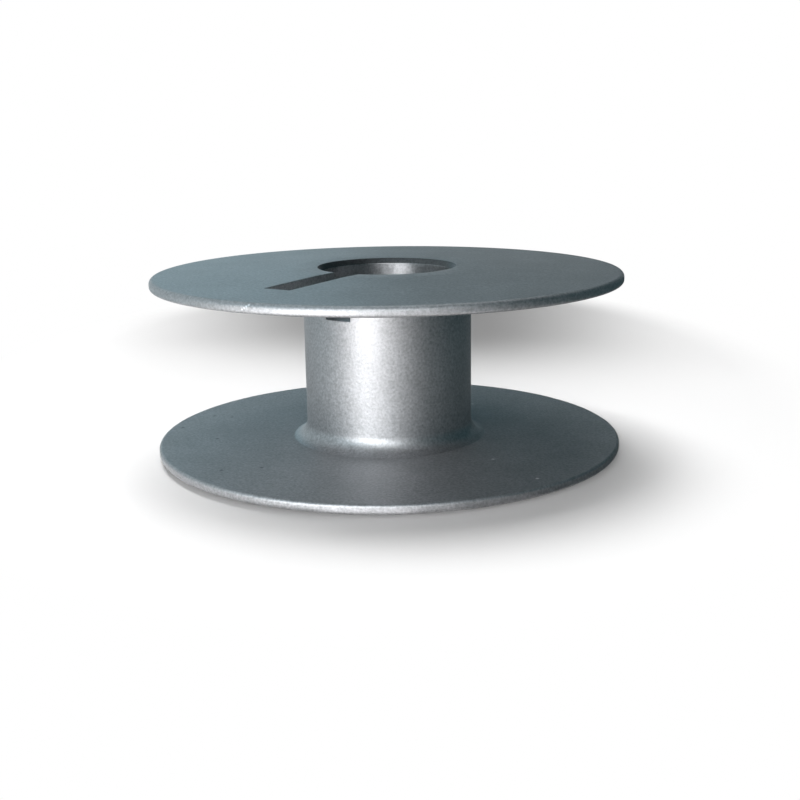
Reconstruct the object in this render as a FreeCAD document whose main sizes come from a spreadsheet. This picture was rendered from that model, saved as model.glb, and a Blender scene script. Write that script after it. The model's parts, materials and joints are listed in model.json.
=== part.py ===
import FreeCAD, Part
import math
import os
import Sketcher

doc = FreeCAD.newDocument("bobbin")
os.makedirs("parts", exist_ok=True)

# The bobbin stands on one end. The origin is on the bore's axis, at the face that it stands on.
# +Z runs along the bore to the slotted end, and the slot points to -Y.

# Driving sizes in millimetres. Radii are measured from the bore's axis.
SIZES = [
    ("height", 8.5, "overall height, from one raised ring to the other"),
    ("flange_radius", 10.7, "outer radius of both flanges"),
    ("flange_thick", 0.44, "thickness of a flange at its rim"),
    ("rim_round", 0.2, "rounding of each rim's outer edge"),
    ("rim_bevel", 0.13, "bevel of each rim's edge on the thread's side"),
    ("ring_rise", 0.2, "how far the ring round the bore stands above the flange face"),
    ("ring_radius", 4.2, "outer radius of the ring's flat top"),
    ("slope_radius", 10.4, "radius near the rim where the shallow slope down from the ring ends"),
    ("hub_radius", 3.86, "radius of the hub that the thread is wound on"),
    ("flare_width", 0.64, "how far the flare at each end of the hub reaches out"),
    ("flare_radius", 0.8, "radius of the flare's hollow curve"),
    ("bore_radius", 3.0, "radius of the through bore"),
    ("mouth_width", 0.16, "width of the bevel at each end of the bore"),
    ("mouth_depth", 0.24, "depth of the bevel at each end of the bore"),
    ("slot_width", 1.32, "width of the thread slot"),
    ("slot_reach", 7.76, "distance from the axis to the slot's outer end"),
    ("notch_depth", 1.34, "depth of the slot in the hub, below the flange's inner face"),
]
sheet = doc.addObject("Spreadsheet::Sheet", "sizes")
for row, (alias, value, note) in enumerate(SIZES, start=1):
    sheet.set("A%d" % row, alias)
    sheet.set("B%d" % row, str(value))
    sheet.set("C%d" % row, note)
    sheet.setAlias("B%d" % row, alias)
doc.recompute()

# The ends of a sketch line or arc, and the sketch's own origin.
START, END = 1, 2
ORIGIN = (-1, 1)

# Two lengths that differ by less than this are the same length.
CLOSE = 1e-6


def origin_plane(body, role):
    """Give one of the body's own origin planes."""
    for feature in body.Origin.OriginFeatures:
        if feature.Role == role:
            return feature
    raise ValueError("no origin plane " + role)


def new_sketch(body, name, role):
    """Add a sketch that lies on an origin plane of the body."""
    sketch = body.newObject("Sketcher::SketchObject", name)
    sketch.AttachmentSupport = [(origin_plane(body, role), "")]
    sketch.MapMode = "FlatFace"
    return sketch


def add_lines(sketch, points):
    """Add the lines between the points of a path, joined end to start, and give their numbers."""
    lines = []
    for first, last in zip(points, points[1:]):
        line = Part.LineSegment(FreeCAD.Vector(*first, 0), FreeCAD.Vector(*last, 0))
        lines.append(sketch.addGeometry(line, False))
    for line, following in zip(lines, lines[1:]):
        sketch.addConstraint(Sketcher.Constraint("Coincident", line, END, following, START))
    return lines


def add_arc(sketch, centre, radius, start_angle, end_angle):
    """Add an arc that runs anticlockwise and give its number."""
    circle = Part.Circle(FreeCAD.Vector(*centre, 0), FreeCAD.Vector(0, 0, 1), radius)
    return sketch.addGeometry(Part.ArcOfCircle(circle, start_angle, end_angle), False)


def constrain(sketch, kind, *places):
    """Add a constraint that has no size."""
    return sketch.addConstraint(Sketcher.Constraint(kind, *places))


def measure(sketch, name, kind, places, expression):
    """Add a named dimension that follows the sheet."""
    value = float(sketch.evalExpression(expression))
    index = sketch.addConstraint(Sketcher.Constraint(kind, *places, value))
    sketch.renameConstraint(index, name)
    sketch.setExpression("Constraints." + name, expression)


def check(feature):
    """Stop if a feature failed, has no valid shape or, for a sketch, can still move."""
    doc.recompute()
    if "Invalid" in feature.State or "Error" in feature.State:
        raise RuntimeError(feature.Name + " failed")
    if feature.Shape.isNull() or not feature.Shape.isValid():
        raise RuntimeError(feature.Name + " has no valid shape")
    if feature.isDerivedFrom("Sketcher::SketchObject") and not feature.FullyConstrained:
        raise RuntimeError(feature.Name + " is not fully constrained")


def check_cut(feature, before):
    """Stop if a cut took nothing off the shape that it started from."""
    check(feature)
    if feature.Shape.Volume >= before.Shape.Volume:
        raise RuntimeError(feature.Name + " cuts nothing")


def blank_outline(body):
    """Half of the turned outline: a flange at each end of a hub that flares out to meet them."""
    top = sheet.height
    rise = sheet.ring_rise
    inside = rise + sheet.flange_thick
    rim = sheet.flange_radius
    hub = sheet.hub_radius
    foot = hub + sheet.flare_width
    bend = sheet.flare_radius
    centre = hub + bend
    lift = math.sqrt(bend**2 - (centre - foot) ** 2)
    turn = math.asin(lift / bend)
    sketch = new_sketch(body, "blank_outline", "XZ_Plane")

    base = [(0, 0), (sheet.ring_radius, 0), (sheet.slope_radius, rise)]
    base += [(rim, rise), (rim, inside), (foot, inside)]
    base_ring, base_slope, base_face, base_rim, base_inside = add_lines(sketch, base)
    base_flare = add_arc(sketch, (centre, inside + lift), bend, math.pi, math.pi + turn)
    (wall,) = add_lines(sketch, [(hub, inside + lift), (hub, top - inside - lift)])
    top_flare = add_arc(sketch, (centre, top - inside - lift), bend, math.pi - turn, math.pi)
    crown = [(foot, top - inside), (rim, top - inside), (rim, top - rise)]
    crown += [(sheet.slope_radius, top - rise), (sheet.ring_radius, top), (0, top), (0, 0)]
    top_inside, top_rim, top_face, top_slope, top_ring, axis = add_lines(sketch, crown)

    constrain(sketch, "Coincident", base_ring, START, *ORIGIN)
    constrain(sketch, "Coincident", axis, END, *ORIGIN)
    constrain(sketch, "Coincident", base_inside, END, base_flare, END)
    constrain(sketch, "Coincident", top_flare, START, top_inside, START)
    constrain(sketch, "Tangent", base_flare, START, wall, START)
    constrain(sketch, "Tangent", wall, END, top_flare, END)
    for level in (base_ring, base_face, base_inside, top_inside, top_face, top_ring):
        constrain(sketch, "Horizontal", level)
    for upright in (base_rim, wall, top_rim, axis):
        constrain(sketch, "Vertical", upright)

    measure(sketch, "height", "DistanceY", (*ORIGIN, axis, START), "sizes.height")
    measure(sketch, "ring_radius", "DistanceX", (*ORIGIN, base_ring, END), "sizes.ring_radius")
    measure(sketch, "ring_rise", "DistanceY", (base_slope, START, base_slope, END), "sizes.ring_rise")
    measure(sketch, "slope_radius", "DistanceX", (*ORIGIN, base_slope, END), "sizes.slope_radius")
    measure(sketch, "flange_radius", "DistanceX", (*ORIGIN, base_face, END), "sizes.flange_radius")
    measure(sketch, "flange_thick", "DistanceY", (base_rim, START, base_rim, END), "sizes.flange_thick")
    measure(sketch, "hub_radius", "DistanceX", (*ORIGIN, wall, START), "sizes.hub_radius")
    measure(sketch, "flare_width", "DistanceX", (wall, START, base_inside, END), "sizes.flare_width")
    measure(sketch, "flare_radius", "Radius", (base_flare,), "sizes.flare_radius")

    # The slotted end repeats the sizes of the end below it.
    constrain(sketch, "Equal", base_flare, top_flare)
    constrain(sketch, "Equal", base_rim, top_rim)
    constrain(sketch, "Equal", base_ring, top_ring)
    constrain(sketch, "Equal", base_slope, top_slope)
    constrain(sketch, "Vertical", base_slope, END, top_slope, START)
    constrain(sketch, "Vertical", base_rim, END, top_rim, START)
    constrain(sketch, "Vertical", base_inside, END, top_inside, START)
    check(sketch)
    return sketch


def turned_blank(body):
    """The bobbin before it is bored, turned about the upright axis."""
    outline = blank_outline(body)
    blank = body.newObject("PartDesign::Revolution", "turned_blank")
    blank.Profile = outline
    blank.ReferenceAxis = (outline, ["V_Axis"])
    blank.Angle = 360
    check(blank)
    return blank


def rim_edges(shape, level):
    """The names of the rim edges at a height above the base, and at the same depth below the top."""
    names = []
    for number, edge in enumerate(shape.Edges, start=1):
        if not isinstance(edge.Curve, Part.Circle):
            continue
        height = edge.Curve.Center.z
        on_rim = abs(edge.Curve.Radius - sheet.flange_radius) < CLOSE
        if on_rim and min(abs(height - level), abs(sheet.height - height - level)) < CLOSE:
            names.append("Edge%d" % number)
    return names


def rounded_rims(body, blank):
    """The rims of both flanges with their outer edges rounded."""
    rims = body.newObject("PartDesign::Fillet", "rounded_rims")
    rims.Base = (blank, rim_edges(blank.Shape, sheet.ring_rise))
    rims.setExpression("Radius", "sizes.rim_round")
    check_cut(rims, blank)
    return rims


def bevelled_rims(body, rounded):
    """The rims with a small bevel on the edges that face each other, so that they don't catch the thread."""
    rims = body.newObject("PartDesign::Chamfer", "bevelled_rims")
    rims.Base = (rounded, rim_edges(rounded.Shape, sheet.ring_rise + sheet.flange_thick))
    rims.setExpression("Size", "sizes.rim_bevel")
    check_cut(rims, rounded)
    return rims


def bore(body, before):
    """The through bore, with a bevelled mouth at each end, cut as one turned groove."""
    width = sheet.bore_radius + sheet.mouth_width
    depth = sheet.mouth_depth
    top = sheet.height
    sketch = new_sketch(body, "bore_outline", "XZ_Plane")
    points = [(0, 0), (width, 0), (sheet.bore_radius, depth), (sheet.bore_radius, top - depth)]
    points += [(width, top), (0, top), (0, 0)]
    base_end, base_mouth, wall, top_mouth, top_end, axis = add_lines(sketch, points)
    constrain(sketch, "Coincident", base_end, START, *ORIGIN)
    constrain(sketch, "Coincident", axis, END, *ORIGIN)
    constrain(sketch, "Horizontal", base_end)
    constrain(sketch, "Horizontal", top_end)
    constrain(sketch, "Vertical", wall)
    constrain(sketch, "Vertical", axis)
    constrain(sketch, "Equal", base_end, top_end)
    constrain(sketch, "Equal", base_mouth, top_mouth)
    measure(sketch, "height", "DistanceY", (*ORIGIN, axis, START), "sizes.height")
    measure(sketch, "bore_radius", "DistanceX", (*ORIGIN, wall, START), "sizes.bore_radius")
    measure(sketch, "mouth_width", "DistanceX", (wall, START, base_end, END), "sizes.mouth_width")
    measure(sketch, "mouth_depth", "DistanceY", (base_end, END, wall, START), "sizes.mouth_depth")
    check(sketch)
    hole = body.newObject("PartDesign::Groove", "bore")
    hole.Profile = sketch
    hole.ReferenceAxis = (sketch, ["V_Axis"])
    hole.Angle = 360
    check_cut(hole, before)
    return hole


def thread_slot(body, before):
    """The slot in the upper flange, which goes on down into the hub as a notch."""
    half = sheet.slot_width / 2
    sketch = new_sketch(body, "slot_outline", "XY_Plane")
    sketch.setExpression("AttachmentOffset.Base.z", "sizes.height")
    points = [(-half, 0), (-half, -sheet.slot_reach), (half, -sheet.slot_reach), (half, 0), (-half, 0)]
    left, outer_end, right, inner_end = add_lines(sketch, points)
    constrain(sketch, "Coincident", inner_end, END, left, START)
    constrain(sketch, "Vertical", left)
    constrain(sketch, "Horizontal", outer_end)
    constrain(sketch, "Horizontal", inner_end)
    constrain(sketch, "Vertical", right)
    constrain(sketch, "Symmetric", inner_end, START, inner_end, END, *ORIGIN)
    measure(sketch, "slot_width", "DistanceX", (outer_end, START, outer_end, END), "sizes.slot_width")
    measure(sketch, "slot_reach", "DistanceY", (left, END, left, START), "sizes.slot_reach")
    check(sketch)
    slot = body.newObject("PartDesign::Pocket", "thread_slot")
    slot.Profile = sketch
    slot.Type = "Length"
    slot.setExpression("Length", "sizes.ring_rise + sizes.flange_thick + sizes.notch_depth")
    check_cut(slot, before)
    return slot


body = doc.addObject("PartDesign::Body", "bobbin")
body.Label = "bobbin"
body.Placement = FreeCAD.Placement()
blank = turned_blank(body)
rounded = rounded_rims(body, blank)
rims = bevelled_rims(body, rounded)
hole = bore(body, rims)
slot = thread_slot(body, hole)
body.Tip = slot

for item in doc.Objects:
    if "Invalid" in item.State or "Error" in item.State:
        raise RuntimeError(item.Name + " failed")
check(body)
if len(body.Shape.Solids) != 1:
    raise RuntimeError("the bobbin is not one solid")
body.Shape.exportStep("parts/bobbin.step")
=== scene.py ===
import json
import math

import bmesh
import bpy
from mathutils import Matrix, Vector


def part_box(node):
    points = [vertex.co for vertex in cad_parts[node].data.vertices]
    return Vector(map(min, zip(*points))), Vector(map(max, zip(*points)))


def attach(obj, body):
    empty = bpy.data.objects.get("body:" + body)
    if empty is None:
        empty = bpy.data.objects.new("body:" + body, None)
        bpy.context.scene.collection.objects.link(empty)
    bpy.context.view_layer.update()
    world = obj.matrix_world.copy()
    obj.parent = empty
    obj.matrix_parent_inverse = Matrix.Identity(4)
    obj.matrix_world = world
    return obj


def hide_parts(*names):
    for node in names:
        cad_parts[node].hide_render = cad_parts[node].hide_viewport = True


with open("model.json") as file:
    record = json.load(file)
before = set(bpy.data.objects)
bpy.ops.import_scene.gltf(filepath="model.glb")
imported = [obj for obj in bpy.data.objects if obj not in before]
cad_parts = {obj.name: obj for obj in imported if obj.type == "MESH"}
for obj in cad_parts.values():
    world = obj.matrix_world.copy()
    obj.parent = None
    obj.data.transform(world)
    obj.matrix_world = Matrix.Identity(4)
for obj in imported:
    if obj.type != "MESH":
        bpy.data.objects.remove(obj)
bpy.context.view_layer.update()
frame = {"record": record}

# Lengths in this script are in millimetres until they reach Blender, which takes metres.
MM = 0.001

# Driving sizes: the overall ones come from the frame, the others are the part's own.
top_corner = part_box("bobbin")[1]
mounts = {mount["name"]: mount for mount in frame["record"]["mounts"]}
HEIGHT = top_corner.z / MM
RIM = top_corner.x / MM
BORE = mounts["bore"]["dims"]["r_mm"]
FLANGE_THICK = 0.44
RIM_ROUND = 0.2
RIM_BEVEL = 0.13
RING_RISE = 0.2
RING = 4.2
SLOPE = 10.4
HUB = 3.86
FLARE_WIDTH = 0.64
FLARE_RADIUS = 0.8
MOUTH_WIDTH = 0.16
MOUTH_DEPTH = 0.24
SLOT_WIDTH = 1.32
SLOT_REACH = 7.76
NOTCH_DEPTH = 1.34

# Slight roundings of the turned surface that only the looks have: at the mouths' deep and outer edges, at
# the ring's outer edge and where the slope ends near the rim.
MOUTH_DEEP_ROUND = 0.08
MOUTH_OUTER_ROUND = 0.05
RING_ROUND = 1.2
SLOPE_ROUND = 3.0

# Levels and radii that follow from the driving sizes.
BASE_FACE = RING_RISE
BASE_INSIDE = RING_RISE + FLANGE_THICK
TOP_FACE = HEIGHT - RING_RISE
TOP_INSIDE = TOP_FACE - FLANGE_THICK
NOTCH_FLOOR = TOP_INSIDE - NOTCH_DEPTH
FOOT = HUB + FLARE_WIDTH
MOUTH = BORE + MOUTH_WIDTH

# The mesh: spokes round the axis, those on each side of the slot's middle, and the steps of each curve.
SPOKES = 480
SLOT_SPOKES = 8
ROUND_STEPS = 4
RIM_STEPS = 8
BEVEL_STEPS = 7
FLARE_STEPS = 18

# The slot's rounded edge, and a narrow strip that is kept clear beside the slot for it.
EDGE_ROUND = 0.035
EDGE_STEPS = 4
EDGE_STRIP = 0.09

# Edges that bend by more than this are shaded as sharp.
SHARP_ANGLE = math.radians(40)

# The metal's finishes in the order of the mesh's slots: name, brightness and roughness. Three are darkened
# by painted shade. Brightness is given for the darkest and the palest clouds, roughness for the two ends of
# the grain.
FINISHES = [
    ("blasted_aluminium", (0.47, 0.53), (0.42, 0.52)),
    # Reamed and smoother, and a little darker than the rest as painted shade inside the bore.
    ("reamed_aluminium_painted_shade", (0.4, 0.44), (0.32, 0.38)),
    # Far darker than the metal: painted shade on the mouths at the bore's ends.
    ("mouth_painted_shade", (0.12, 0.14), (0.42, 0.52)),
    # Coarser, and a little darker as painted shade on the lower flange's face under the upper flange.
    ("coarser_aluminium_painted_shade", (0.42, 0.48), (0.52, 0.62)),
    ("rim_aluminium", (0.47, 0.51), (0.5, 0.58)),
]
BLASTED, REAMED_SHADED, SHADED_MOUTH, COARSER_SHADED, ON_RIM = range(len(FINISHES))

# A face whose middle is this near to a level or a radius lies on it.
CLOSE = 0.02

# The grain's and the clouds' noise mostly lies in this range. The grain changes the brightness by a factor
# and stands out by its depth. The metal's tint is slightly cool.
NOISE_RANGE = (0.3, 0.7)
GRAIN_FACTOR = (0.75, 1.25)
GRAIN_DEPTH = 0.014
METAL_TINT = (1.0, 1.0, 1.025)

# Marks on the metal as (x, y, z) places: pale dust, dark specks, a pale patch by the hub, and a nick on the
# upper rim that is painted as a bright glint.
DUST = [(0.63, 6.64, 0.64), (6.45, -1.45, 0.64), (9.34, -2.87, 0.64)]
SPECKS = [
    (-9.22, -2.19, 0.64), (-8.97, -4.66, 0.64), (-6.13, -5.28, 0.64), (-8.29, -1.89, 0.64),
    (-2.54, -8.86, 0.64), (-1.31, -7.68, 0.64), (-5.64, -4.64, 8.35),
]
# A pale patch by the foot of the hub.
PALE_PATCH = [(3.26, 2.43, 0.72)]
NICK_GLINT = [(0.74, -10.64, 8.03), (0.84, -10.63, 8.09), (0.94, -10.62, 8.15), (1.04, -10.61, 8.21)]

# How the marks are laid over each other: places, the distances where a mark starts and ends its fading, its
# brightness, and how far it covers the metal's own. Dust is also less metallic than the rest.
MARKS = {
    "pale_patch": (PALE_PATCH, 0.0, 0.45, 0.9, 0.5),
    # The nick is a painted bright glint, with no dent in the mesh.
    "nick_glint": (NICK_GLINT, 0.03, 0.07, 1.0, 0.9),
    "dust": (DUST, 0.03, 0.11, 0.8, 1.0),
    "specks": (SPECKS, 0.03, 0.12, 0.1, 0.7),
}
DUST_METALLIC = 0.2

# The photograph's camera, measured from the bobbin's axis. Its azimuth is counted from -Y, where the slot
# points. Angles are in radians.
CAMERA_AZIMUTH = math.radians(35)
CAMERA_DISTANCE = 51.30
CAMERA_HEIGHT = 14.67
CAMERA_YAW = 0.0101
CAMERA_PITCH = 0.2393
CAMERA_ROLL = -0.0147
CAMERA_LENS = 50.39
CAMERA_SENSOR = 36
CAMERA_NEAR = 1
CAMERA_FAR = 5000

# The reflected sky: its tint, its brightness on the camera's left and right, where white is 1, and its
# share of that overhead. Each pair says where it changes, on a direction of length 1: by how far that
# points to the camera's right, or by how far it points up. Below the sky, reflections are white.
SKY_TINT = (0.58, 1.0, 1.17)
SKY_LEFT = 0.66
SKY_RIGHT = 0.14
SKY_ACROSS = (-0.35, 0.3)
SKY_TOP = 0.4
SKY_RISE = (0.2, 0.7)
SKY_HORIZON = (0.108, 0.14)

# Colours: white, the floor's paint, and the weak light that the room itself sheds on things.
WHITE = (1, 1, 1, 1)
FLOOR_PAINT = (0.8, 0.8, 0.8, 1)
ROOM_LIGHT = (0.03, 0.03, 0.03, 1)

# The floor, with its middle behind the bobbin. The oval on it keeps the shadow: how much narrower than long
# it is, and where it fades to pure white.
FLOOR_REACH = 1500
FLOOR_SIDES = 96
FLOOR_BEHIND = 18
OVAL_WIDTH = 1.5
OVAL_START = 31
OVAL_END = 39

# Cards stand round the bobbin or lie just above the floor. The ones that lie there are pieces of rings, by
# inner and outer radius, with a corner every few degrees. The darkest cards share a colour.
NIGHT = (0.01, 0.045, 0.055)
FLOOR_CARD_LEVEL = 0.05
LEFT_RING = (12, 60)
RIGHT_RING = (13, 60)
RIM_RING = (10.8, 13)
RING_STEP = 10

# The flag is a level card that shades the floor beside and behind the bobbin, by its (right, back) corners.
FLAG_CORNERS = [(-15, 29), (8, 23), (13, 52), (-18, 52)]
FLAG_HEIGHT = 24


def arc(centre, radius, start, end, steps):
    """Points along an arc between two angles in radians, ends included."""
    turns = [start + (end - start) * i / steps for i in range(steps + 1)]
    return [(centre[0] + radius * math.cos(t), centre[1] + radius * math.sin(t)) for t in turns]


def rounded(before, corner, after, radius, steps):
    """A corner of the outline, rounded by an arc that touches both of its sides."""
    here = Vector(corner)
    back = (Vector(before) - here).normalized()
    on = (Vector(after) - here).normalized()
    half = back.angle(on) / 2
    centre = here + (back + on).normalized() * radius / math.sin(half)
    start = here + back * radius / math.tan(half) - centre
    end = here + on * radius / math.tan(half) - centre
    first = math.atan2(start.y, start.x)
    sweep = math.atan2(start.x * end.y - start.y * end.x, start.dot(end))
    return arc(centre, radius, first, first + sweep, steps)


def face_height(radius):
    """Height of the upper flange's face, which slopes gently up from the rim to the ring."""
    return TOP_FACE + RING_RISE * (SLOPE - radius) / (SLOPE - RING)


def outline():
    """The turned outline as (radius, height) points, with the numbers of its special points by name."""
    points = []
    marks = {}

    def go(*path):
        points.extend(path)

    def mark(name):
        marks[name] = len(points)

    lift = math.sqrt(FLARE_RADIUS**2 - (FLARE_RADIUS - FLARE_WIDTH) ** 2)
    turn = math.asin(lift / FLARE_RADIUS)
    bend = HUB + FLARE_RADIUS
    slot_end = math.hypot(SLOT_WIDTH / 2 + EDGE_STRIP, SLOT_REACH)
    slot_beyond = math.hypot(SLOT_WIDTH / 2 + EDGE_STRIP, SLOT_REACH + EDGE_STRIP)

    # The end that it stands on, from the bore out to the rim and back to the hub.
    mouth_low = (BORE, MOUTH_DEPTH)
    ring_in, ring_out, slope_low = (MOUTH, 0), (RING, 0), (SLOPE, BASE_FACE)
    rim_base, rim_inside = (RIM, BASE_FACE), (RIM, BASE_INSIDE)
    foot_low = (FOOT, BASE_INSIDE)
    wall = (BORE, NOTCH_FLOOR)
    go(*rounded(wall, mouth_low, ring_in, MOUTH_DEEP_ROUND, ROUND_STEPS))
    go(*rounded(mouth_low, ring_in, ring_out, MOUTH_OUTER_ROUND, ROUND_STEPS))
    go(*rounded(ring_in, ring_out, slope_low, RING_ROUND, ROUND_STEPS))
    go(*rounded(ring_out, slope_low, rim_base, SLOPE_ROUND, ROUND_STEPS))
    go(*rounded(slope_low, rim_base, rim_inside, RIM_ROUND, RIM_STEPS))
    go(*rounded(rim_base, rim_inside, foot_low, RIM_BEVEL, BEVEL_STEPS))
    go(*arc((bend, BASE_INSIDE + lift), FLARE_RADIUS, math.pi + turn, math.pi, FLARE_STEPS))

    # Up the hub, past the notch's floor, and out under the slotted flange.
    go((HUB, NOTCH_FLOOR - EDGE_STRIP))
    mark("hub_notch")
    go((HUB, NOTCH_FLOOR), (HUB, NOTCH_FLOOR + EDGE_STRIP))
    go(*arc((bend, TOP_INSIDE - lift), FLARE_RADIUS, math.pi, math.pi - turn, FLARE_STEPS))
    mark("inside_slot_end")
    go((slot_end, TOP_INSIDE), (slot_beyond, TOP_INSIDE))

    # Round the rim, in over the top face and the ring, and down the bore.
    rim_under, rim_top = (RIM, TOP_INSIDE), (RIM, TOP_FACE)
    slope_top, ring_top, mouth_top = (SLOPE, TOP_FACE), (RING, HEIGHT), (MOUTH, HEIGHT)
    mouth_deep = (BORE, HEIGHT - MOUTH_DEPTH)
    go(*rounded((FOOT, TOP_INSIDE), rim_under, rim_top, RIM_BEVEL, BEVEL_STEPS))
    go(*rounded(rim_under, rim_top, slope_top, RIM_ROUND, RIM_STEPS))
    go(*rounded(rim_top, slope_top, ring_top, SLOPE_ROUND, ROUND_STEPS))
    mark("face_slot_beyond")
    go((slot_beyond, face_height(slot_beyond)), (slot_end, face_height(slot_end)))
    go(*rounded(slope_top, ring_top, mouth_top, RING_ROUND, ROUND_STEPS))
    go(*rounded(ring_top, mouth_top, mouth_deep, MOUTH_OUTER_ROUND, ROUND_STEPS))
    go(*rounded(mouth_top, mouth_deep, wall, MOUTH_DEEP_ROUND, ROUND_STEPS))
    go((BORE, NOTCH_FLOOR + EDGE_STRIP))
    mark("bore_notch")
    go((BORE, NOTCH_FLOOR), (BORE, NOTCH_FLOOR - EDGE_STRIP))
    return points, marks


def spoke_place(radius, spoke):
    """Where a spoke crosses a circle round the axis. The spokes at the slot run parallel to it."""
    half = SLOT_WIDTH / 2
    side = 1 if spoke >= 0 else -1
    if abs(spoke) <= SLOT_SPOKES:
        x = half * spoke / SLOT_SPOKES
        return x, -math.sqrt(radius**2 - x**2)
    first = math.asin((half + EDGE_STRIP) / radius)
    share = (abs(spoke) - SLOT_SPOKES - 1) / (SPOKES / 2 - SLOT_SPOKES - 1)
    angle = first + (math.pi - first) * share
    return side * radius * math.sin(angle), -radius * math.cos(angle)


def turned_mesh():
    """The bobbin's mesh: the outline turned about the axis, with the slot left open and walled."""
    points, marks = outline()
    mesh = bmesh.new()
    half_turn = SPOKES // 2
    spokes = range(-half_turn + 1, half_turn + 1)

    # At the slot's square end, these rings of points run straight across, this far from the axis.
    straight = {
        marks["inside_slot_end"]: SLOT_REACH,
        marks["inside_slot_end"] + 1: SLOT_REACH + EDGE_STRIP,
        marks["face_slot_beyond"]: SLOT_REACH + EDGE_STRIP,
        marks["face_slot_beyond"] + 1: SLOT_REACH,
    }
    grid = []
    for number, (radius, height) in enumerate(points):
        ring = {}
        for spoke in spokes:
            x, y = spoke_place(radius, spoke)
            if number in straight and abs(spoke) <= SLOT_SPOKES + 1:
                y = -straight[number]
            ring[spoke] = mesh.verts.new((x * MM, y * MM, height * MM))
        grid.append(ring)

    def add_face(number, other, spoke):
        """Add the face between two rings of points, from a spoke to the next one."""
        beside = spoke + 1 if spoke < half_turn else -half_turn + 1
        here, there = grid[number], grid[other]
        mesh.faces.new((here[spoke], here[beside], there[beside], there[spoke]))

    def is_open(number, spoke):
        """Whether the slot takes the face that starts at this point and spoke."""
        below = marks["hub_notch"] <= number < marks["inside_slot_end"]
        above = marks["face_slot_beyond"] < number < marks["bore_notch"]
        return (below or above) and -SLOT_SPOKES <= spoke < SLOT_SPOKES

    for number in range(len(points)):
        for spoke in spokes:
            if not is_open(number, spoke):
                add_face(number, (number + 1) % len(points), spoke)

    # The slot's end wall and the notch's floor, then the two side walls.
    low_end, high_end = marks["inside_slot_end"], marks["face_slot_beyond"] + 1
    hub_low, bore_low = marks["hub_notch"], marks["bore_notch"]
    for spoke in range(-SLOT_SPOKES, SLOT_SPOKES):
        add_face(low_end, high_end, spoke)
        add_face(bore_low, hub_low, spoke)
    side = list(range(hub_low, low_end + 1)) + list(range(high_end, bore_low + 1))
    for spoke in (-SLOT_SPOKES, SLOT_SPOKES):
        mesh.faces.new([grid[number][spoke] for number in side])

    bmesh.ops.recalc_face_normals(mesh, faces=mesh.faces)
    bmesh.ops.bevel(
        mesh, geom=slot_lips(mesh, grid, marks), offset=EDGE_ROUND * MM, offset_type="OFFSET",
        segments=EDGE_STEPS, profile=0.5, affect="EDGES", clamp_overlap=False,
    )
    return mesh


def slot_lips(mesh, grid, marks):
    """The edges where the slot and its notch leave the turned surface."""
    def edge(first, second):
        return mesh.edges.get((first, second))

    found = []
    under = (marks["hub_notch"], marks["inside_slot_end"])
    over = (marks["face_slot_beyond"] + 1, marks["bore_notch"])
    for first, last in (under, over):
        for spoke in (-SLOT_SPOKES, SLOT_SPOKES):
            found += [edge(grid[n][spoke], grid[n + 1][spoke]) for n in range(first, last)]
        for ring in (grid[first], grid[last]):
            found += [edge(ring[s], ring[s + 1]) for s in range(-SLOT_SPOKES, SLOT_SPOKES)]
    return found


def finish_at(place):
    """The number of the finish that the metal has at a place in millimetres. The mouths, the bore and the
    lower flange's inner face get finishes darkened by painted shade.
    """
    radius = math.hypot(place.x, place.y)
    if radius < MOUTH + CLOSE:
        in_mouth = abs(place.z - HEIGHT / 2) > HEIGHT / 2 - MOUTH_DEPTH
        return SHADED_MOUTH if in_mouth else REAMED_SHADED
    if radius > RIM - RIM_ROUND:
        return ON_RIM
    if abs(place.z - BASE_INSIDE) < CLOSE and radius > FOOT:
        return COARSER_SHADED
    return BLASTED


def bobbin_piece(materials):
    """The bobbin, smooth shaded, with crisp lines only at its creases and inner corners."""
    mesh = turned_mesh()
    for face in mesh.faces:
        face.material_index = finish_at(face.calc_center_median() / MM)
    data = bpy.data.meshes.new("bobbin_body")
    mesh.to_mesh(data)
    mesh.free()
    for material in materials:
        data.materials.append(material)
    data.shade_smooth()
    data.set_sharp_from_angle(angle=SHARP_ANGLE)
    piece = bpy.data.objects.new("bobbin_body", data)
    bpy.context.scene.collection.objects.link(piece)
    normals = piece.modifiers.new("flat_faces_lead", "WEIGHTED_NORMAL")
    normals.mode = "FACE_AREA"
    normals.keep_sharp = True
    return piece


def empty_tree(holder):
    """The node tree of a material or a world, emptied."""
    holder.use_nodes = True
    holder.node_tree.nodes.clear()
    return holder.node_tree


def put(tree, value, socket):
    """Give a socket a fixed value, or link it to the socket that the value comes from."""
    if isinstance(value, bpy.types.NodeSocket):
        tree.links.new(value, socket)
    else:
        socket.default_value = value


def add_node(tree, kind, **inputs):
    """Add a shader node and set or link its inputs, given by name with underscores for spaces."""
    node = tree.nodes.new(kind)
    for name, value in inputs.items():
        put(tree, value, node.inputs[name.replace("_", " ")])
    return node


def calculate(tree, operation, first, second):
    """The outcome of a calculation with two numbers."""
    node = tree.nodes.new("ShaderNodeMath")
    node.operation = operation
    put(tree, first, node.inputs[0])
    put(tree, second, node.inputs[1])
    return node.outputs["Value"]


def calculate_vector(tree, operation, first, second=None, scale=None):
    """The outcomes of a calculation with one or two vectors, or with a vector and a scale."""
    node = tree.nodes.new("ShaderNodeVectorMath")
    node.operation = operation
    put(tree, first, node.inputs[0])
    if second is not None:
        put(tree, second, node.inputs[1])
    if scale is not None:
        put(tree, scale, node.inputs["Scale"])
    return node.outputs


def remapped(tree, value, start, end, low, high, smooth=False):
    """A value that goes from low to high while the given one goes from start to end."""
    node = add_node(
        tree, "ShaderNodeMapRange", Value=value, From_Min=start, From_Max=end, To_Min=low, To_Max=high
    )
    if smooth:
        node.interpolation_type = "SMOOTHSTEP"
    return node.outputs["Result"]


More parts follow.
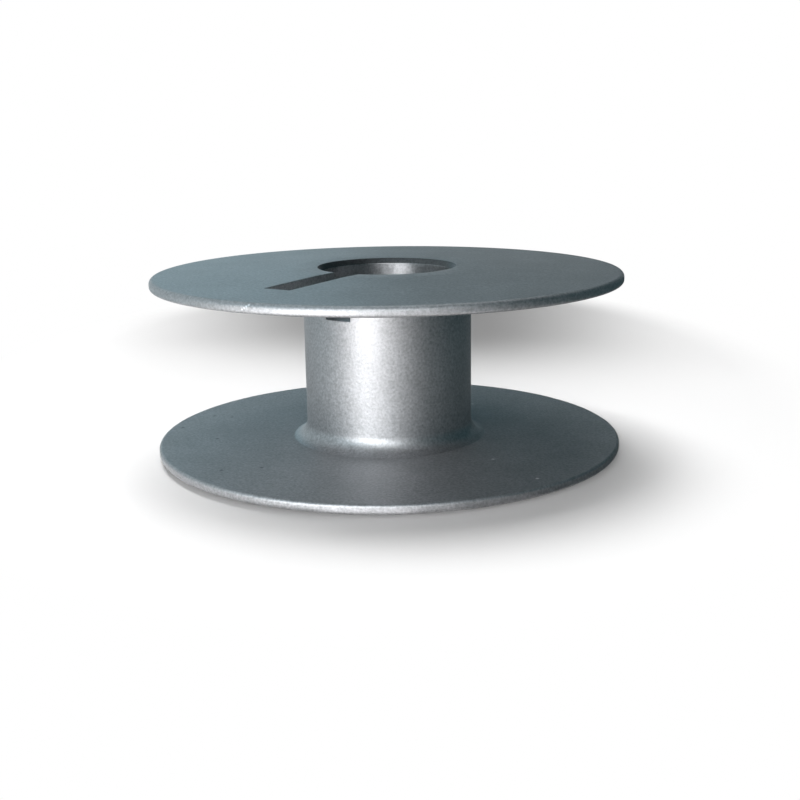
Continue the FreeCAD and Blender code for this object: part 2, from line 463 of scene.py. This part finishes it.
def mixed(tree, share, first, second):
    """The first shader where the share is 0, the second where it is 1."""
    mix = add_node(tree, "ShaderNodeMixShader", Fac=share)
    put(tree, first, mix.inputs[1])
    put(tree, second, mix.inputs[2])
    return mix.outputs["Shader"]


def near_any(tree, spot, places, inner, outer):
    """1 within the inner distance of any of the places, falling to 0 at the outer one, in millimetres."""
    gaps = [calculate_vector(tree, "DISTANCE", spot, place)["Value"] for place in places]
    nearest = gaps[0]
    for gap in gaps[1:]:
        nearest = calculate(tree, "MINIMUM", nearest, gap)
    return remapped(tree, nearest, inner, outer, 1.0, 0.0)


def seen_directly(tree):
    """1 for rays from the camera and for rays that glossy and clear surfaces send on, otherwise 0."""
    path = add_node(tree, "ShaderNodeLightPath").outputs
    mirrored = calculate(tree, "MAXIMUM", path["Is Camera Ray"], path["Is Glossy Ray"])
    return calculate(tree, "MAXIMUM", mirrored, path["Is Transmission Ray"])


def satin_metal(name, brightness, roughness):
    """Finely blasted aluminium: satin, with an even grain and slight clouding, and with the marks on it."""
    material = bpy.data.materials.new(name)
    tree = empty_tree(material)
    place = add_node(tree, "ShaderNodeTexCoord").outputs["Object"]
    spot = calculate_vector(tree, "SCALE", place, scale=1 / MM)["Vector"]
    grain_noise = add_node(tree, "ShaderNodeTexNoise", Vector=spot, Scale=9.0, Detail=3.0, Roughness=0.65)
    cloud_noise = add_node(tree, "ShaderNodeTexNoise", Vector=spot, Scale=0.45, Detail=4.0, Roughness=0.6)
    grain = grain_noise.outputs["Fac"]
    tone = remapped(tree, cloud_noise.outputs["Fac"], *NOISE_RANGE, *brightness)
    shown = calculate(tree, "MULTIPLY", tone, remapped(tree, grain, *NOISE_RANGE, *GRAIN_FACTOR))

    masks = {}
    for kind, (places, inner, outer, level, cover) in MARKS.items():
        masks[kind] = near_any(tree, spot, places, inner, outer)
        share = remapped(tree, masks[kind], 0.0, 1.0, 0.0, cover)
        shown = add_node(tree, "ShaderNodeMix", Factor=share, A=shown, B=level).outputs["Result"]

    metal = add_node(
        tree,
        "ShaderNodeBsdfPrincipled",
        Metallic=remapped(tree, masks["dust"], 0.0, 1.0, 1.0, DUST_METALLIC),
        Base_Color=calculate_vector(tree, "SCALE", METAL_TINT, scale=shown)["Vector"],
        Roughness=remapped(tree, grain, *NOISE_RANGE, *roughness),
    )
    bump = add_node(tree, "ShaderNodeBump", Strength=0.6, Distance=GRAIN_DEPTH * MM, Height=grain)
    put(tree, bump.outputs["Normal"], metal.inputs["Normal"])
    add_node(tree, "ShaderNodeOutputMaterial", Surface=metal.outputs["BSDF"])
    return material


def pale_floor():
    """A plain white floor. It keeps the bobbin's shadow in an oval round it and is pure white beyond."""
    material = bpy.data.materials.new("white_floor")
    tree = empty_tree(material)
    paint = add_node(tree, "ShaderNodeBsdfDiffuse", Color=FLOOR_PAINT).outputs["BSDF"]
    white = add_node(tree, "ShaderNodeEmission", Color=WHITE, Strength=1.0).outputs["Emission"]
    place = add_node(tree, "ShaderNodeTexCoord").outputs["Object"]
    oval = calculate_vector(tree, "MULTIPLY", place, (OVAL_WIDTH, 1, 1))["Vector"]
    reach = calculate_vector(tree, "LENGTH", oval)["Value"]
    fade = remapped(tree, reach, OVAL_START * MM, OVAL_END * MM, 0.0, 1.0, smooth=True)
    far = calculate(tree, "MULTIPLY", fade, seen_directly(tree))
    add_node(tree, "ShaderNodeOutputMaterial", Surface=mixed(tree, far, paint, white))

    mesh = bmesh.new()
    bmesh.ops.create_circle(mesh, cap_ends=True, segments=FLOOR_SIDES, radius=FLOOR_REACH * MM)
    data = bpy.data.meshes.new("floor")
    mesh.to_mesh(data)
    mesh.free()
    data.materials.append(material)
    floor = bpy.data.objects.new("floor", data)
    floor.location = beside_camera(180, FLOOR_BEHIND, 0)
    floor.rotation_euler.z = CAMERA_AZIMUTH
    bpy.context.scene.collection.objects.link(floor)


def studio_world():
    """A white room. Reflections show a cool sky in it, pale on the camera's left and dark on its right."""
    world = bpy.data.worlds.new("studio")
    bpy.context.scene.world = world
    tree = empty_tree(world)

    def backdrop(color):
        return add_node(tree, "ShaderNodeBackground", Color=color, Strength=1.0).outputs["Background"]

    direction = add_node(tree, "ShaderNodeTexCoord").outputs["Generated"]
    height = add_node(tree, "ShaderNodeSeparateXYZ", Vector=direction).outputs["Z"]
    camera_right = (math.cos(CAMERA_AZIMUTH), math.sin(CAMERA_AZIMUTH), 0)
    across = calculate_vector(tree, "DOT_PRODUCT", direction, camera_right)["Value"]
    side = remapped(tree, across, *SKY_ACROSS, SKY_LEFT, SKY_RIGHT, smooth=True)
    shade = calculate(tree, "MULTIPLY", side, remapped(tree, height, *SKY_RISE, 1.0, SKY_TOP))
    sky = calculate_vector(tree, "SCALE", SKY_TINT, scale=shade)["Vector"]
    from_camera = add_node(tree, "ShaderNodeLightPath").outputs["Is Camera Ray"]
    reflected = calculate(tree, "SUBTRACT", 1.0, from_camera)
    above = remapped(tree, height, *SKY_HORIZON, 0.0, reflected, smooth=True)
    room = mixed(tree, above, backdrop(WHITE), backdrop(sky))
    surroundings = mixed(tree, seen_directly(tree), backdrop(ROOM_LIGHT), room)
    add_node(tree, "ShaderNodeOutputWorld", Surface=surroundings)


def beside_camera(azimuth, distance, height):
    """A place in metres. Its azimuth is in degrees from the camera's, counted to the camera's right."""
    turn = CAMERA_AZIMUTH + math.radians(azimuth)
    return Vector((distance * math.sin(turn), -distance * math.cos(turn), height)) * MM


def soft_lamp(name, place, size, brightness, metal=True, floor=True):
    """A rectangular lamp facing the bobbin. A mirror would show it at this brightness, where white is 1."""
    lamp = bpy.data.lights.new(name, "AREA")
    lamp.shape = "RECTANGLE"
    lamp.size = size[0] * MM
    lamp.size_y = size[1] * MM
    lamp.energy = brightness * math.pi * lamp.size * lamp.size_y
    fixture = bpy.data.objects.new(name, lamp)
    fixture.location = place
    middle = Vector((0, 0, HEIGHT / 2 * MM))
    fixture.rotation_euler = (middle - place).to_track_quat("-Z", "Y").to_euler()
    fixture.visible_camera = False
    fixture.visible_glossy = metal
    fixture.visible_diffuse = floor
    bpy.context.scene.collection.objects.link(fixture)


def stage_card(name, places, faces, color):
    """A card that shows only in reflections, glowing in its colour. Without a colour, it only shades."""
    data = bpy.data.meshes.new(name)
    data.from_pydata([Vector(place) * MM for place in places], [], faces)
    stand = bpy.data.objects.new(name, data)
    stand.rotation_euler.z = CAMERA_AZIMUTH
    stand.visible_camera = False
    stand.visible_diffuse = False
    stand.visible_transmission = False
    if color is None:
        stand.visible_glossy = False
    else:
        stand.visible_shadow = False
        material = bpy.data.materials.new(name)
        tree = empty_tree(material)
        glow = add_node(tree, "ShaderNodeEmission", Color=(*color, 1), Strength=1.0)
        add_node(tree, "ShaderNodeOutputMaterial", Surface=glow.outputs["Emission"])
        data.materials.append(material)
    bpy.context.scene.collection.objects.link(stand)


def upright_card(name, path, low, high, color):
    """A card between two heights, along a path of (right, back) places counted from the camera's view."""
    count = len(path)
    places = [(right, back, height) for height in (low, high) for right, back in path]
    stage_card(name, places, [(i, i + 1, count + i + 1, count + i) for i in range(count - 1)], color)


def level_card(name, corners, height, color=None):
    """A level card with (right, back) corners counted from the camera's view."""
    stage_card(name, [(right, back, height) for right, back in corners], [range(len(corners))], color)


def floor_card(name, ring, start, end, color):
    """A card just above the floor: a piece of a ring between two azimuths, in degrees from the camera's."""
    inner, outer = ring
    turns = [math.radians(turn) for turn in range(start, end + 1, RING_STEP)]
    near = [(inner * math.sin(turn), -inner * math.cos(turn)) for turn in turns]
    far = [(outer * math.sin(turn), -outer * math.cos(turn)) for turn in reversed(turns)]
    level_card(name, near + far, FLOOR_CARD_LEVEL, color)


def photo_camera():
    """The camera at the photograph's place and angle."""
    forward = Vector((
        math.sin(CAMERA_YAW) * math.cos(CAMERA_PITCH),
        math.cos(CAMERA_YAW) * math.cos(CAMERA_PITCH),
        -math.sin(CAMERA_PITCH),
    ))
    right = Vector((math.cos(CAMERA_YAW), -math.sin(CAMERA_YAW), 0))
    up = right.cross(forward)
    rolled_right = math.cos(CAMERA_ROLL) * right + math.sin(CAMERA_ROLL) * up
    rolled_up = math.cos(CAMERA_ROLL) * up - math.sin(CAMERA_ROLL) * right
    facing = Matrix((rolled_right, rolled_up, -forward)).transposed()
    turned = Matrix.Rotation(CAMERA_AZIMUTH, 3, "Z") @ facing
    place = beside_camera(0, CAMERA_DISTANCE, CAMERA_HEIGHT)
    data = bpy.data.cameras.new("photo_camera")
    data.sensor_width = CAMERA_SENSOR
    data.lens = CAMERA_LENS
    data.clip_start = CAMERA_NEAR * MM
    data.clip_end = CAMERA_FAR * MM
    camera = bpy.data.objects.new("photo_camera", data)
    camera.matrix_world = Matrix.Translation(place) @ turned.to_4x4()
    bpy.context.scene.collection.objects.link(camera)
    bpy.context.scene.camera = camera


photo_camera()
studio_world()
pale_floor()

# Lamps by place and size. The low key lamp lights only the metal, and two lamps light only the floor.
soft_lamp("key", beside_camera(-28, 30, 4.1), size=(17, 8.2), brightness=6.2, floor=False)
soft_lamp("key_high", beside_camera(-10, 130, 60), size=(115, 80), brightness=2.6)
soft_lamp("overhead", beside_camera(180, 60, 200), size=(180, 180), brightness=0.7)
soft_lamp("floor_light", beside_camera(-152, 74, 200), size=(120, 120), brightness=9.8, metal=False)
soft_lamp("front", beside_camera(-4, 160, 40), size=(60, 40), brightness=24.0, metal=False)
level_card("flag", FLAG_CORNERS, FLAG_HEIGHT)

# Cards that the metal mirrors: upright ones to the right, behind and to the left, then those at the floor.
upright_card("dark_card", [(8, -38), (27, 5), (34, 40)], low=0, high=22, color=NIGHT)
back_corners = [(34, 40, 12), (-4, 78, 20), (-4, 78, 50), (34, 40, 50)]
stage_card("back_card", back_corners, [range(len(back_corners))], color=NIGHT)
upright_card("low_card", [(34, 40), (12, 62)], low=0, high=6, color=(0.07, 0.09, 0.1))
upright_card("low_middle", [(12, 62), (-2, 66)], low=0, high=9, color=(0.04, 0.05, 0.06))
upright_card("grey_card", [(-17, -10), (-42, 60), (-60, 110)], low=0, high=70, color=(0.47, 0.56, 0.59))
floor_card("floor_left", LEFT_RING, start=-175, end=-85, color=(0.42, 0.44, 0.45))
floor_card("floor_right", RIGHT_RING, start=75, end=175, color=(0.13, 0.15, 0.155))
floor_card("floor_front_right", RIGHT_RING, start=35, end=75, color=(0.32, 0.33, 0.335))
floor_card("rim_front", RIM_RING, start=-15, end=5, color=(1.2, 1.2, 1.22))
floor_card("rim_right", RIM_RING, start=35, end=175, color=(0.05, 0.06, 0.065))
floor_card("rim_front_right", RIM_RING, start=15, end=35, color=(0.17, 0.175, 0.18))

bobbin = bobbin_piece([satin_metal(*finish) for finish in FINISHES])
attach(bobbin, "root")
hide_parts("bobbin")

bpy.context.scene.view_settings.view_transform = "Standard"
